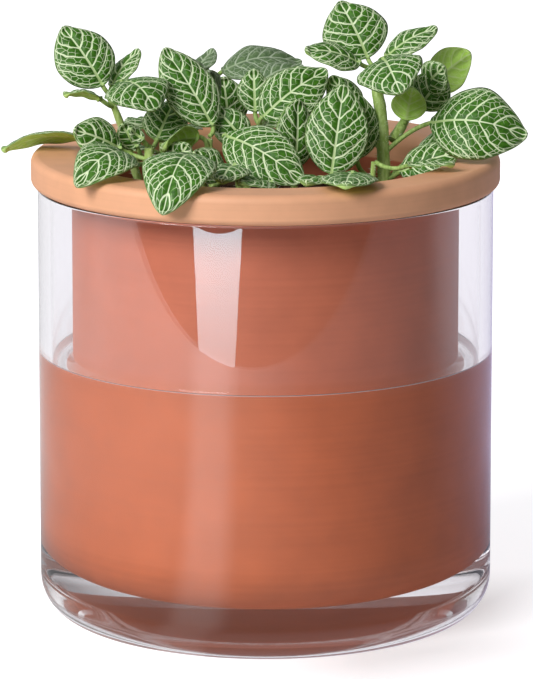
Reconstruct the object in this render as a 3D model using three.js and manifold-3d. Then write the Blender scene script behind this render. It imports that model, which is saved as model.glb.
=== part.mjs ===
// Self-watering plant pot: an unglazed clay pot hangs by its rim in a glass jar of water, and the
// damp clay waters the soil and the small net-leaved plant in it.
// Millimetres, +Z up, origin at the centre of the jar's foot. -Y is the front.
import * as THREE from 'three';
import { mergeVertices } from 'three/addons/utils/BufferGeometryUtils.js';
import Module from 'manifold-3d';

const wasm = await Module();
wasm.setup();

// Glass jar
const JAR_RADIUS = 70;
const JAR_HEIGHT = 135;
const JAR_WALL = 4;
const JAR_FLOOR = 5.6;
const JAR_HEEL = 12.5; // round outer corner where the wall meets the foot
const JAR_BOWL = 16.2; // oval inner corner where the wall meets the floor, measured across
const JAR_BOWL_RISE = 25.8; // height of that corner
const JAR_LIP = 1.6; // round edges of the fire-polished mouth

// Clay pot
const POT_RADIUS = 59.5;
const POT_WALL = 5;
const POT_FOOT_Z = 12.8; // underside of the pot above the table
const POT_CORNER = 15.2; // round outer corner of the foot
const POT_INNER_CORNER = 10.2;
const RIM_RADIUS = 72;
const RIM_DEPTH = 9.2; // height of the flange that rests on the jar
const RIM_TOP_ROUND = 2.6;
const RIM_UNDER_ROUND = 2;
const MOUTH_ROUND = 5; // thrown inner edge of the mouth

// Contents
const WATER_LEVEL = 82;
const SOIL_LEVEL = 127;
const SOIL_CROWN = 2; // how far the middle of the soil stands above its edge
const SOIL_STATIONS = [1, 0.5, 0]; // shares of the radius where its crown is drawn
const STEM_SOCKET_DEPTH = 13;
const SOCKET_PLAY = 0.9; // loose soil round the foot of a stem

// Leaves
const PETIOLE_RADIUS = 0.7;
const BLADE_THICKNESS = 0.9;
const BLADE_DROOP = 0.16; // how far a blade's edges hang, as a share of its half width
const BLADE_FULLNESS = 0.62; // lower makes the outline rounder
const BLADE_LEAN = 0.85; // under 1 puts the widest place nearer the base
const TIP_SHARE = 0.06; // half width left at the blunt tip
const BLADE_STATIONS = [0, 0.06, 0.17, 0.34, 0.52, 0.7, 0.85, 0.95, 1];
const PETIOLE_STATIONS = [0, 0.5];

const GAP = 0.3; // clearance between neighbouring pieces
const FACETS = 48; // sides of every turned piece
const ARC_STEP = 4; // length of one facet along a turned corner
const ARC_LEAST = 2; // fewest facets on a corner
const STEM_SIDES = 8;
const STEPS_PER_NODE = 2; // rings along a stem between two leaf nodes
const WELD = 1e-4; // points closer than this are one
// Points round a leaf's section: share of the half width, and 1 above or -1 below the middle layer
const LEAF_RING = [[-1, 0], [-0.5, 1], [0, 1], [0.5, 1], [1, 0], [0.5, -1], [0, -1], [-0.5, -1]];

const RIM_UNDER_Z = JAR_HEIGHT + GAP;
const RIM_TOP_Z = RIM_UNDER_Z + RIM_DEPTH;
const MOUTH_RADIUS = POT_RADIUS - POT_WALL;
const POT_FLOOR_Z = POT_FOOT_Z + POT_WALL;
const QUARTER = Math.PI / 2;

// A matt or glossy finish that isn't metal.
function finish(color, roughness, opacity = 1) {
  const transparent = opacity < 1;
  return new THREE.MeshStandardMaterial({ color, roughness, metalness: 0, transparent, opacity });
}

const clearGlass = finish('#e9eef0', 0.04, 0.3);
const stillWater = finish('#dfe9ee', 0.05, 0.4);
const terracotta = finish('#c8784f', 0.9);
const pottingSoil = finish('#3b2a20', 1);
const leafGreen = finish('#3c6a35', 0.5);
const stemGreen = finish('#6f8f4a', 0.6);

// Each sprig is a stem through its leaf nodes. A leaf grows from one node: its blade runs from base
// to tip, its upper side looks along face (azimuth and elevation in degrees), and arch is the rise
// of the midrib over the straight line.
const sprigs = [
  {
    name: 'left',
    radius: 1.4,
    nodes: [[-38, 4, 130], [-41.2, 2, 142.2], [-43.7, 0, 151.4], [-46.2, -1, 158.5], [-47.7, -1, 162.5]],
    leaves: [
      { node: 4, base: [-49.7, -2, 165.5], tip: [-62.1, 6, 182.3], width: 19, face: [-80, 33], arch: 2 },
      { node: 4, base: [-47.2, 3, 164.3], tip: [-38.6, 10, 174.6], width: 11, face: [0, 90], arch: 1.5 },
      { node: 3, base: [-50.2, -4, 161.6], tip: [-61.7, -6, 163.2], width: 11, face: [90, 72], arch: 2 },
      { node: 4, base: [-44.1, -6, 167.2], tip: [-33.2, -20, 160.8], width: 22, face: [-65, 37], arch: 4 },
      { node: 1, base: [-55.7, 3, 148.6], tip: [-81.2, 4, 144.2], width: 15, face: [90, 67], arch: 3 },
      { node: 1, base: [-39.2, -9, 147.7], tip: [-44.2, -8, 154.7], width: 9, face: [-90, 43], arch: 0.5 },
    ],
  },
  {
    name: 'front_left',
    radius: 2,
    nodes: [[-33, -14, 130], [-34.2, -16, 137], [-35.2, -17, 145.1], [-35.2, -17, 149.1]],
    leaves: [
      { node: 2, base: [-44.2, -16, 148.6], tip: [-58.2, -21, 155.3], width: 15, face: [-95, 38], arch: 1.5 },
      { node: 2, base: [-40.2, -32, 148.3], tip: [-56.2, -54, 143.7], width: 18, face: [-105, 42], arch: 7 },
      { node: 3, base: [-37.2, -19, 151.7], tip: [-41.7, -20, 155.3], width: 6, face: [-90, 43], arch: 0.5 },
      { node: 3, base: [-33.2, -8, 149.7], tip: [-27.7, 4, 160.2], width: 14, face: [-90, 48], arch: 1 },
    ],
  },
  {
    name: 'mid_left',
    radius: 1.6,
    nodes: [[-15, -16, 130], [-16.2, -15, 138.9], [-17.2, -13, 146.9], [-17.2, -12, 150.9]],
    leaves: [
      { node: 3, base: [-16.2, -9, 154.3], tip: [-31.1, 2, 176.4], width: 17, face: [-80, 38], arch: 2 },
      { node: 2, base: [-20.2, -15, 152], tip: [-31.2, -24, 149.9], width: 12, face: [90, 32], arch: 2 },
    ],
  },
  {
    name: 'rim_left',
    radius: 1.3,
    nodes: [[-17, -33, 130], [-18.2, -35, 137.8], [-18.7, -38, 145]],
    leaves: [
      { node: 2, base: [-21.2, -45, 151.4], tip: [-30.2, -73, 139], width: 22, face: [-100, 43], arch: 8 },
      { node: 1, base: [-9.2, -36, 146.9], tip: [-13.2, -51, 144.6], width: 13, face: [-90, 68], arch: 2 },
    ],
  },
  {
    name: 'centre_front',
    radius: 1.5,
    nodes: [[-2, -22, 130], [-4.2, -22, 134.2], [-8.2, -20, 143.2], [-10.2, -18, 150.2]],
    leaves: [
      { node: 3, base: [-12.2, -20, 153.3], tip: [11.4, -33, 141.3], width: 19, face: [-100, 43], arch: 4 },
    ],
  },
  {
    name: 'centre',
    radius: 1.6,
    nodes: [[3, -4, 130], [1.8, -2, 138.3], [-0.2, 0, 148.3], [-1.7, 1, 152.3]],
    leaves: [
      { node: 3, base: [-1.2, -1, 155.4], tip: [18.8, 8, 168.6], width: 18, face: [-100, 33], arch: 3 },
      { node: 3, base: [-3.2, 5, 156.2], tip: [-3.7, 11, 168.5], width: 11, face: [-90, 23], arch: 1 },
      { node: 1, base: [6.9, -4, 145.5], tip: [12.8, 1, 155.3], width: 12, face: [-60, 32], arch: 1 },
    ],
  },
  {
    name: 'back',
    radius: 1.6,
    nodes: [[-8, 30, 130], [-10.2, 33, 141.8], [-11.7, 36, 153.8], [-12.2, 38, 158.7]],
    leaves: [
      { node: 3, base: [-13.7, 46, 161.9], tip: [11.3, 51, 163.7], width: 19, face: [-90, 65], arch: 4 },
      { node: 2, base: [-3.2, 31, 159], tip: [11.8, 36, 164.8], width: 14, face: [-90, 68], arch: 3 },
      { node: 3, base: [-18.2, 38, 163.7], tip: [-29.1, 38, 166.3], width: 9, face: [0, 90], arch: 2 },
      { node: 2, base: [-22.2, 45, 161.4], tip: [-16.2, 53, 167.6], width: 9, face: [-150, 81], arch: 1 },
      { node: 1, base: [-15.2, 24, 157.3], tip: [-18.2, 20, 166.6], width: 9, face: [-60, 22], arch: 0.5 },
    ],
  },
  {
    name: 'back_left',
    radius: 1.3,
    nodes: [[-31, 22, 130], [-32, 24, 139], [-32, 25, 143]],
    leaves: [
      { node: 2, base: [-35, 30, 146.5], tip: [-43, 42, 147], width: 12, face: [0, 90], arch: 2 },
      { node: 2, base: [-28.5, 30, 146], tip: [-22, 43, 144.5], width: 12, face: [0, 90], arch: 1.5 },
      { node: 1, base: [-36, 20, 142], tip: [-47, 15, 142.5], width: 11, face: [0, 90], arch: 1.5 },
    ],
  },
  {
    name: 'back_right',
    radius: 1.3,
    nodes: [[9, 27, 130], [10, 29, 139], [10, 30, 143]],
    leaves: [
      { node: 2, base: [14, 35, 146], tip: [24, 46, 146], width: 12, face: [0, 90], arch: 2 },
      { node: 2, base: [7, 35, 146], tip: [0, 47, 145], width: 11, face: [0, 90], arch: 1.5 },
      { node: 1, base: [14, 23, 142], tip: [22, 14, 141], width: 11, face: [0, 90], arch: 1.5 },
    ],
  },
  {
    name: 'right',
    radius: 2.2,
    nodes: [
      [37, -10, 130], [36.4, -10, 136.7], [35.9, -8, 145.7], [35.4, -4, 156.6], [33.8, -1, 165.5],
      [33.3, 0, 170.5],
    ],
    leaves: [
      { node: 5, base: [31.3, 2, 173.4], tip: [22.8, 12, 189.1], width: 21, face: [-85, 33], arch: 2 },
      { node: 5, base: [28.8, -3, 172.6], tip: [11.8, -7, 177.3], width: 14, face: [-90, 63], arch: 2 },
      { node: 5, base: [36.8, 3, 173.4], tip: [52.8, 8, 181.7], width: 12, face: [-90, 68], arch: 2 },
      { node: 5, base: [35.8, -6, 174.3], tip: [40.9, -24, 166.5], width: 21, face: [-115, 57], arch: 4 },
      { node: 2, base: [50.4, -9, 155.3], tip: [79.4, -14, 152], width: 25, face: [-80, 33], arch: 6 },
      { node: 2, base: [28.4, 6, 155.1], tip: [19.8, 9, 166.6], width: 12, face: [-80, 43], arch: 1 },
      { node: 1, base: [45.9, -8, 145], tip: [62.9, -8, 150.6], width: 14, face: [-100, 53], arch: 1.5 },
    ],
  },
  {
    name: 'right_fork',
    radius: 1.6,
    nodes: [[38.9, -4, 149], [42.4, 0, 153.9], [44.9, 3, 159.3], [46.8, 4, 163.3]],
    leaves: [
      { node: 1, base: [42.9, -3, 155], tip: [44.8, -6, 165.7], width: 11, face: [90, 7], arch: 1 },
      { node: 3, base: [48.3, -1, 164.5], tip: [54.8, -6, 172.3], width: 12, face: [-80, 38], arch: 1 },
      { node: 3, base: [50.3, 6, 164.2], tip: [63.3, 14, 173.4], width: 14, face: [80, 17], arch: 1.5 },
    ],
  },
  {
    name: 'front_right',
    radius: 1.4,
    nodes: [[20, -22, 130], [19.9, -24, 133.3], [19.9, -25, 138.4]],
    leaves: [
      { node: 2, base: [19.9, -25, 142.4], tip: [23.8, -12, 167.5], width: 19.5, face: [-90, 18], arch: 1.5 },
      { node: 1, base: [25.9, -46, 146.4], tip: [23.4, -72, 147.5], width: 18, face: [-90, 88], arch: 1.5 },
    ],
  },
  {
    name: 'right_rim',
    radius: 1.1,
    nodes: [[33, -20, 130], [32.4, -20, 137.1], [32.9, -20, 145.2]],
    leaves: [
      { node: 2, base: [42.9, -28, 145.6], tip: [56.9, -34, 146.8], width: 10, face: [0, 90], arch: 1.5 },
      { node: 1, base: [16.9, -36, 142.9], tip: [11.9, -50, 144], width: 11, face: [-90, 73], arch: 1.5 },
    ],
  },
];

// Corner of a turned outline: points on an arc between two angles, in radians. With a rise it is oval.
function corner(centreX, centreZ, radius, from, to, rise = radius) {
  const steps = Math.max(ARC_LEAST, Math.round((radius * Math.abs(to - from)) / ARC_STEP));
  const points = [];
  for (let i = 0; i <= steps; i += 1) {
    const angle = from + (to - from) * (i / steps);
    const [x, z] = [centreX + radius * Math.cos(angle), centreZ + rise * Math.sin(angle)];
    points.push(new THREE.Vector2(x, z));
  }
  return points;
}

// Leaves only positions, with shared vertices joined and collapsed triangles dropped.
function welded(geometry) {
  geometry.deleteAttribute('normal');
  geometry.deleteAttribute('uv');
  const merged = mergeVertices(geometry, WELD);
  const kept = [];
  const order = merged.index.array;
  for (let i = 0; i < order.length; i += 3) {
    const [a, b, c] = [order[i], order[i + 1], order[i + 2]];
    if (a !== b && b !== c && c !== a) kept.push(a, b, c);
  }
  merged.setIndex(kept);
  return merged;
}

// A solid of revolution about Z. The outline starts and ends on the axis and runs anticlockwise.
function turned(outline) {
  const geometry = new THREE.LatheGeometry(outline, FACETS);
  geometry.rotateX(QUARTER);
  return welded(geometry);
}

function manifoldOf(geometry) {
  const mesh = new wasm.Mesh({
    numProp: 3,
    vertProperties: new Float32Array(geometry.attributes.position.array),
    triVerts: new Uint32Array(geometry.index.array),
  });
  return new wasm.Manifold(mesh);
}

function geometryOf(solid) {
  const mesh = solid.getMesh();
  const geometry = new THREE.BufferGeometry();
  geometry.setAttribute('position', new THREE.BufferAttribute(new Float32Array(mesh.vertProperties), 3));
  geometry.setIndex(new THREE.BufferAttribute(new Uint32Array(mesh.triVerts), 1));
  return geometry;
}

function glassJar() {
  const inside = JAR_RADIUS - JAR_WALL;
  return turned([
    new THREE.Vector2(0, 0),
    ...corner(JAR_RADIUS - JAR_HEEL, JAR_HEEL, JAR_HEEL, -QUARTER, 0),
    ...corner(JAR_RADIUS - JAR_LIP, JAR_HEIGHT - JAR_LIP, JAR_LIP, 0, QUARTER),
    ...corner(inside + JAR_LIP, JAR_HEIGHT - JAR_LIP, JAR_LIP, QUARTER, 2 * QUARTER),
    ...corner(inside - JAR_BOWL, JAR_FLOOR + JAR_BOWL_RISE, JAR_BOWL, 0, -QUARTER, JAR_BOWL_RISE),
    new THREE.Vector2(0, JAR_FLOOR),
  ]);
}

// The water fills the jar round and under the pot.
function water() {
  const outside = JAR_RADIUS - JAR_WALL - GAP;
  const inside = POT_RADIUS + GAP;
  const floor = JAR_FLOOR + GAP;
  const bowl = JAR_BOWL - GAP;
  const rise = JAR_BOWL_RISE - GAP;
  const hollow = POT_CORNER + GAP;
  return turned([
    new THREE.Vector2(0, floor),
    ...corner(outside - bowl, floor + rise, bowl, -QUARTER, 0, rise),
    new THREE.Vector2(outside, WATER_LEVEL),
    new THREE.Vector2(inside, WATER_LEVEL),
    ...corner(POT_RADIUS - POT_CORNER, POT_FOOT_Z + POT_CORNER, hollow, 0, -QUARTER),
    new THREE.Vector2(0, POT_FOOT_Z - GAP),
  ]);
}

function terracottaPot() {
  const inner = POT_INNER_CORNER;
  return turned([
    new THREE.Vector2(0, POT_FOOT_Z),
    ...corner(POT_RADIUS - POT_CORNER, POT_FOOT_Z + POT_CORNER, POT_CORNER, -QUARTER, 0),
    new THREE.Vector2(POT_RADIUS, RIM_UNDER_Z),
    ...corner(RIM_RADIUS - RIM_UNDER_ROUND, RIM_UNDER_Z + RIM_UNDER_ROUND, RIM_UNDER_ROUND, -QUARTER, 0),
    ...corner(RIM_RADIUS - RIM_TOP_ROUND, RIM_TOP_Z - RIM_TOP_ROUND, RIM_TOP_ROUND, 0, QUARTER),
    ...corner(MOUTH_RADIUS + MOUTH_ROUND, RIM_TOP_Z - MOUTH_ROUND, MOUTH_ROUND, QUARTER, 2 * QUARTER),
    ...corner(MOUTH_RADIUS - inner, POT_FLOOR_Z + inner, inner, 0, -QUARTER),
    new THREE.Vector2(0, POT_FLOOR_Z),
  ]);
}

function isRooted(sprig) {
  return sprig.nodes[0][2] < RIM_UNDER_Z;
}

// A straight plug wider than a stem, for the hole that the stem's foot stands in.
function stemSocket(sprig) {
  const height = STEM_SOCKET_DEPTH + 2 * SOIL_CROWN;
  const radius = sprig.radius + SOCKET_PLAY;
  const geometry = new THREE.CylinderGeometry(radius, radius, height, STEM_SIDES);
  geometry.rotateX(QUARTER);
  const [x, y] = sprig.nodes[0];
  geometry.translate(x, y, SOIL_LEVEL - STEM_SOCKET_DEPTH + height / 2);
  return welded(geometry);
}

function rootBall() {
  const radius = MOUTH_RADIUS - GAP;
  const inner = POT_INNER_CORNER - GAP;
  const floor = POT_FLOOR_Z + GAP;
  let solid = manifoldOf(turned([
    new THREE.Vector2(0, floor),
    ...corner(radius - inner, floor + inner, inner, -QUARTER, 0),
    ...SOIL_STATIONS.map((share) => {
      return new THREE.Vector2(share * radius, SOIL_LEVEL + SOIL_CROWN * (1 - share * share));
    }),
  ]));
  for (const sprig of sprigs.filter(isRooted)) {
    solid = solid.subtract(manifoldOf(stemSocket(sprig)));
  }
  return geometryOf(solid);
}

// A stem that comes out of the soil has a straight foot below its first node.
function stem(sprig) {
  const points = sprig.nodes.map((node) => new THREE.Vector3(...node));
  if (isRooted(sprig)) {
    points.unshift(points[0].clone().setZ(SOIL_LEVEL - STEM_SOCKET_DEPTH + GAP));
  }
  const path = new THREE.CatmullRomCurve3(points);
  const section = new THREE.Shape();
  for (let i = 0; i < STEM_SIDES; i += 1) {
    const angle = (i / STEM_SIDES) * 4 * QUARTER;
    const point = [sprig.radius * Math.cos(angle), sprig.radius * Math.sin(angle)];
    if (i === 0) section.moveTo(...point);
    else section.lineTo(...point);
  }
  const steps = STEPS_PER_NODE * (points.length - 1);
  return welded(new THREE.ExtrudeGeometry(section, { steps, extrudePath: path, bevelEnabled: false }));
}

// Unit vector for an azimuth and an elevation in degrees.
function direction([azimuth, elevation]) {
  const [turn, rise] = [THREE.MathUtils.degToRad(azimuth), THREE.MathUtils.degToRad(elevation)];
  const level = new THREE.Vector3(Math.cos(turn), Math.sin(turn), 0);
  return level.multiplyScalar(Math.cos(rise)).setZ(Math.sin(rise));
}

function squareTo(vector, axis) {
  return vector.clone().addScaledVector(axis, -vector.dot(axis)).normalize();
}

// Where a petiole starts: just clear of the stem's side, or of its end at the topmost node.
function petioleStart(sprig, leaf, base) {
  const [before, here, after] = [-1, 0, 1].map((step) => {
    const index = Math.min(leaf.node + step, sprig.nodes.length - 1);
    return new THREE.Vector3(...sprig.nodes[index]);
  });
  const axis = after.clone().sub(before).normalize();
  const way = base.clone().sub(here).normalize();
  const along = way.dot(axis);
  const across = Math.sqrt(1 - along * along);
  const pastSide = (sprig.radius + GAP + PETIOLE_RADIUS * Math.abs(along)) / across;
  const isTop = leaf.node === sprig.nodes.length - 1;
  const pastEnd = isTop && along > 0 ? (GAP + PETIOLE_RADIUS * across) / along : Infinity;
  return here.addScaledVector(way, Math.min(pastSide, pastEnd));
}

// Share of the full half width at a place along the blade, from 0 at its base to 1 at its tip.
function bladeOutline(place) {
  return Math.max(Math.sin(Math.PI * place ** BLADE_LEAN) ** BLADE_FULLNESS, TIP_SHARE);
}

// One leaf: a round petiole that widens into a thin, drooping, ovate blade.
function leafSolid(sprig, leaf) {
  const [base, tip] = [new THREE.Vector3(...leaf.base), new THREE.Vector3(...leaf.tip)];
  const start = petioleStart(sprig, leaf, base);
  const face = direction(leaf.face);
  const up = squareTo(face, tip.clone().sub(base).normalize());
  const crest = base.clone().lerp(tip, 0.5).addScaledVector(up, 2 * leaf.arch);
  const inward = base.clone().sub(crest).normalize();
  const entry = base.clone().addScaledVector(inward, base.distanceTo(start) / 2);
  const petiole = new THREE.QuadraticBezierCurve3(start, entry, base);
  const blade = new THREE.QuadraticBezierCurve3(base, crest, tip);
  const stations = [
    ...PETIOLE_STATIONS.map((t) => {
      return { curve: petiole, t, half: PETIOLE_RADIUS, thick: 2 * PETIOLE_RADIUS };
    }),
    ...BLADE_STATIONS.map((t) => {
      const half = Math.max(bladeOutline(t) * (leaf.width / 2), PETIOLE_RADIUS * (1 - t));
      const thick = t === 0 ? 2 * PETIOLE_RADIUS : BLADE_THICKNESS;
      return { curve: blade, t, half, thick };
    }),
  ];
  return loft(stations.map(({ curve, t, half, thick }) => leafSection(curve, t, face, half, thick)));
}

// Points round a leaf: edge, over the top to the other edge, and back underneath.
function leafSection(curve, t, face, half, thick) {
  const centre = curve.getPoint(t);
  const along = curve.getTangent(t);
  const up = squareTo(face, along);
  const side = along.clone().cross(up);
  return LEAF_RING.map(([across, layer]) => {
    const droop = half > PETIOLE_RADIUS ? -BLADE_DROOP * half * across * across : 0;
    const height = droop + layer * (thick / 2) * Math.sqrt(1 - across * across);
    return centre.clone().addScaledVector(side, across * half).addScaledVector(up, height);
  });
}

// Closed skin over a row of equal rings.
function loft(rings) {
  const count = rings[0].length;
  const last = (rings.length - 1) * count;
  const faces = [];
  for (let ring = 0; ring < rings.length - 1; ring += 1) {
    for (let i = 0; i < count; i += 1) {
      const [a, b] = [ring * count + i, ring * count + ((i + 1) % count)];
      faces.push(a, b, b + count, a, b + count, a + count);
    }
  }
  for (let i = 1; i < count - 1; i += 1) {
    faces.push(0, i + 1, i);
    faces.push(last, last + i, last + i + 1);
  }
  const geometry = new THREE.BufferGeometry().setFromPoints(rings.flat());
  geometry.setIndex(faces);
  return geometry;
}

function addPiece(group, name, geometry, material) {
  const mesh = new THREE.Mesh(geometry, material.clone());
  mesh.name = name;
  group.add(mesh);
}

const planter = new THREE.Group();
addPiece(planter, 'glass_jar', glassJar(), clearGlass);
addPiece(planter, 'water', water(), stillWater);
addPiece(planter, 'terracotta_pot', terracottaPot(), terracotta);
addPiece(planter, 'potting_soil', rootBall(), pottingSoil);
for (const sprig of sprigs) {
  addPiece(planter, `${sprig.name}_stem`, stem(sprig), stemGreen);
  sprig.leaves.forEach((leaf, i) => {
    addPiece(planter, `${sprig.name}_leaf_${i + 1}`, leafSolid(sprig, leaf), leafGreen);
  });
}

export default planter;
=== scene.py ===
"""Self-watering pot: a clay pot hangs by its rim in a glass jar of water and holds a net-leaved plant."""

import math
from functools import partial

import bpy
import numpy as np
from bpy.props import FloatProperty, FloatVectorProperty, IntProperty, PointerProperty
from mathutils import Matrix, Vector


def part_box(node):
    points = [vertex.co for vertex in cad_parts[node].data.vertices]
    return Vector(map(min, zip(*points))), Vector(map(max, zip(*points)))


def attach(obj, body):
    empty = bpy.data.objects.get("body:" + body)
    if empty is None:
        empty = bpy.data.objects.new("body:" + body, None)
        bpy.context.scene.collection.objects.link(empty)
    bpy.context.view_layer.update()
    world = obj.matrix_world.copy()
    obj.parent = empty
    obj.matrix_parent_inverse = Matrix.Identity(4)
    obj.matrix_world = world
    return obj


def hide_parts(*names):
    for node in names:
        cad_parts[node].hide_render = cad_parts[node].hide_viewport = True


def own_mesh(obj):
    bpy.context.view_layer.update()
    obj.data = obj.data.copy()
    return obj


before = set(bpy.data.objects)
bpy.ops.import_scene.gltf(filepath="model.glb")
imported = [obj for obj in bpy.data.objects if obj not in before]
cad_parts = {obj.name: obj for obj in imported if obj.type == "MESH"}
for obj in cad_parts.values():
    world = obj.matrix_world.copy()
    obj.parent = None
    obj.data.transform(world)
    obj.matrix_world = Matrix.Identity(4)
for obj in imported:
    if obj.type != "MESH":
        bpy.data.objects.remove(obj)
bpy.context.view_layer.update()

bl_info = {
    "name": "Self-watering pot",
    "version": (1, 0, 0),
    "blender": (4, 5, 0),
    "location": "3D View > Sidebar > Planter",
    "description": "Dresses the packed planter with glass, water, clay, potting mix and net-veined leaves",
    "category": "Object",
}

MM = 0.001
JAR_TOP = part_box("glass_jar")[1]
POT_LOW, POT_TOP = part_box("terracotta_pot")
WATER_LOW, WATER_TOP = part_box("water")
SOIL_LOW, SOIL_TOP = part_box("potting_soil")

GLASS_IOR, WATER_IOR = 1.5, 1.333
# Facets on a rounded corner and round the potting mix, and a leaf's rows and columns of faces.
ROUND_STEPS, SOIL_SIDES = 12, 96
STALK_ROWS, BLADE_ROWS, COLUMNS = 12, 66, 30
# The height in the potting mix at which a rooted stem starts.
ROOTED_FROM = 116 * MM
# The picture's height and the focal length in pixels, and the sensor in millimetres.
PICTURE_HEIGHT, FOCAL_PIXELS, SENSOR = 679, 5298, 36.0
# The lamp's place, aim and width in metres, and how strongly the table and the streak's panel glow.
KEY_PLACE, KEY_AIM, KEY_WIDTH = Vector((-1.0, -1.15, 1.15)), Vector((0, 0, 0.09)), 0.9
TABLE_GLOW, STREAK_GLOW = 0.7, 14.0

# Short names for kinds of node, some with settings. MAP and EASE take a value, the range that it comes from
# and the range that it is brought to, which is 0 to 1 where none is given.
MATH, MAP = "ShaderNodeMath", "ShaderNodeMapRange"
PLUS, MINUS, TIMES, OVER, TIMES_PLUS, LARGER, SMALLER, SIZE = ((MATH, {"operation": word}) for word in (
    "ADD", "SUBTRACT", "MULTIPLY", "DIVIDE", "MULTIPLY_ADD", "MAXIMUM", "MINIMUM", "ABSOLUTE"))
EASE = (MAP, {"interpolation_type": "SMOOTHSTEP"})
BLEND, BETWEEN = (("ShaderNodeMix", {"data_type": word}) for word in ("RGBA", "FLOAT"))
NOISE, PLACE, SPLIT = "ShaderNodeTexNoise", "ShaderNodeTexCoord", "ShaderNodeSeparateXYZ"
SHAPE, LIGHT_PATH = "ShaderNodeNewGeometry", "ShaderNodeLightPath"
PRINCIPLED, MATT = "ShaderNodeBsdfPrincipled", "ShaderNodeBsdfDiffuse"
SEE_THROUGH, GLOW = "ShaderNodeBsdfTransparent", "ShaderNodeEmission"
EITHER, OUTPUT = "ShaderNodeMixShader", "ShaderNodeOutputMaterial"
CIRCLE, SMOOTH = "GeometryNodeCurvePrimitiveCircle", "GeometryNodeSetShadeSmooth"
SCATTER, INSTANCE = "GeometryNodeDistributePointsOnFaces", "GeometryNodeInstanceOnPoints"
REALIZE, FINISH = "GeometryNodeRealizeInstances", "GeometryNodeSetMaterial"

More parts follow.
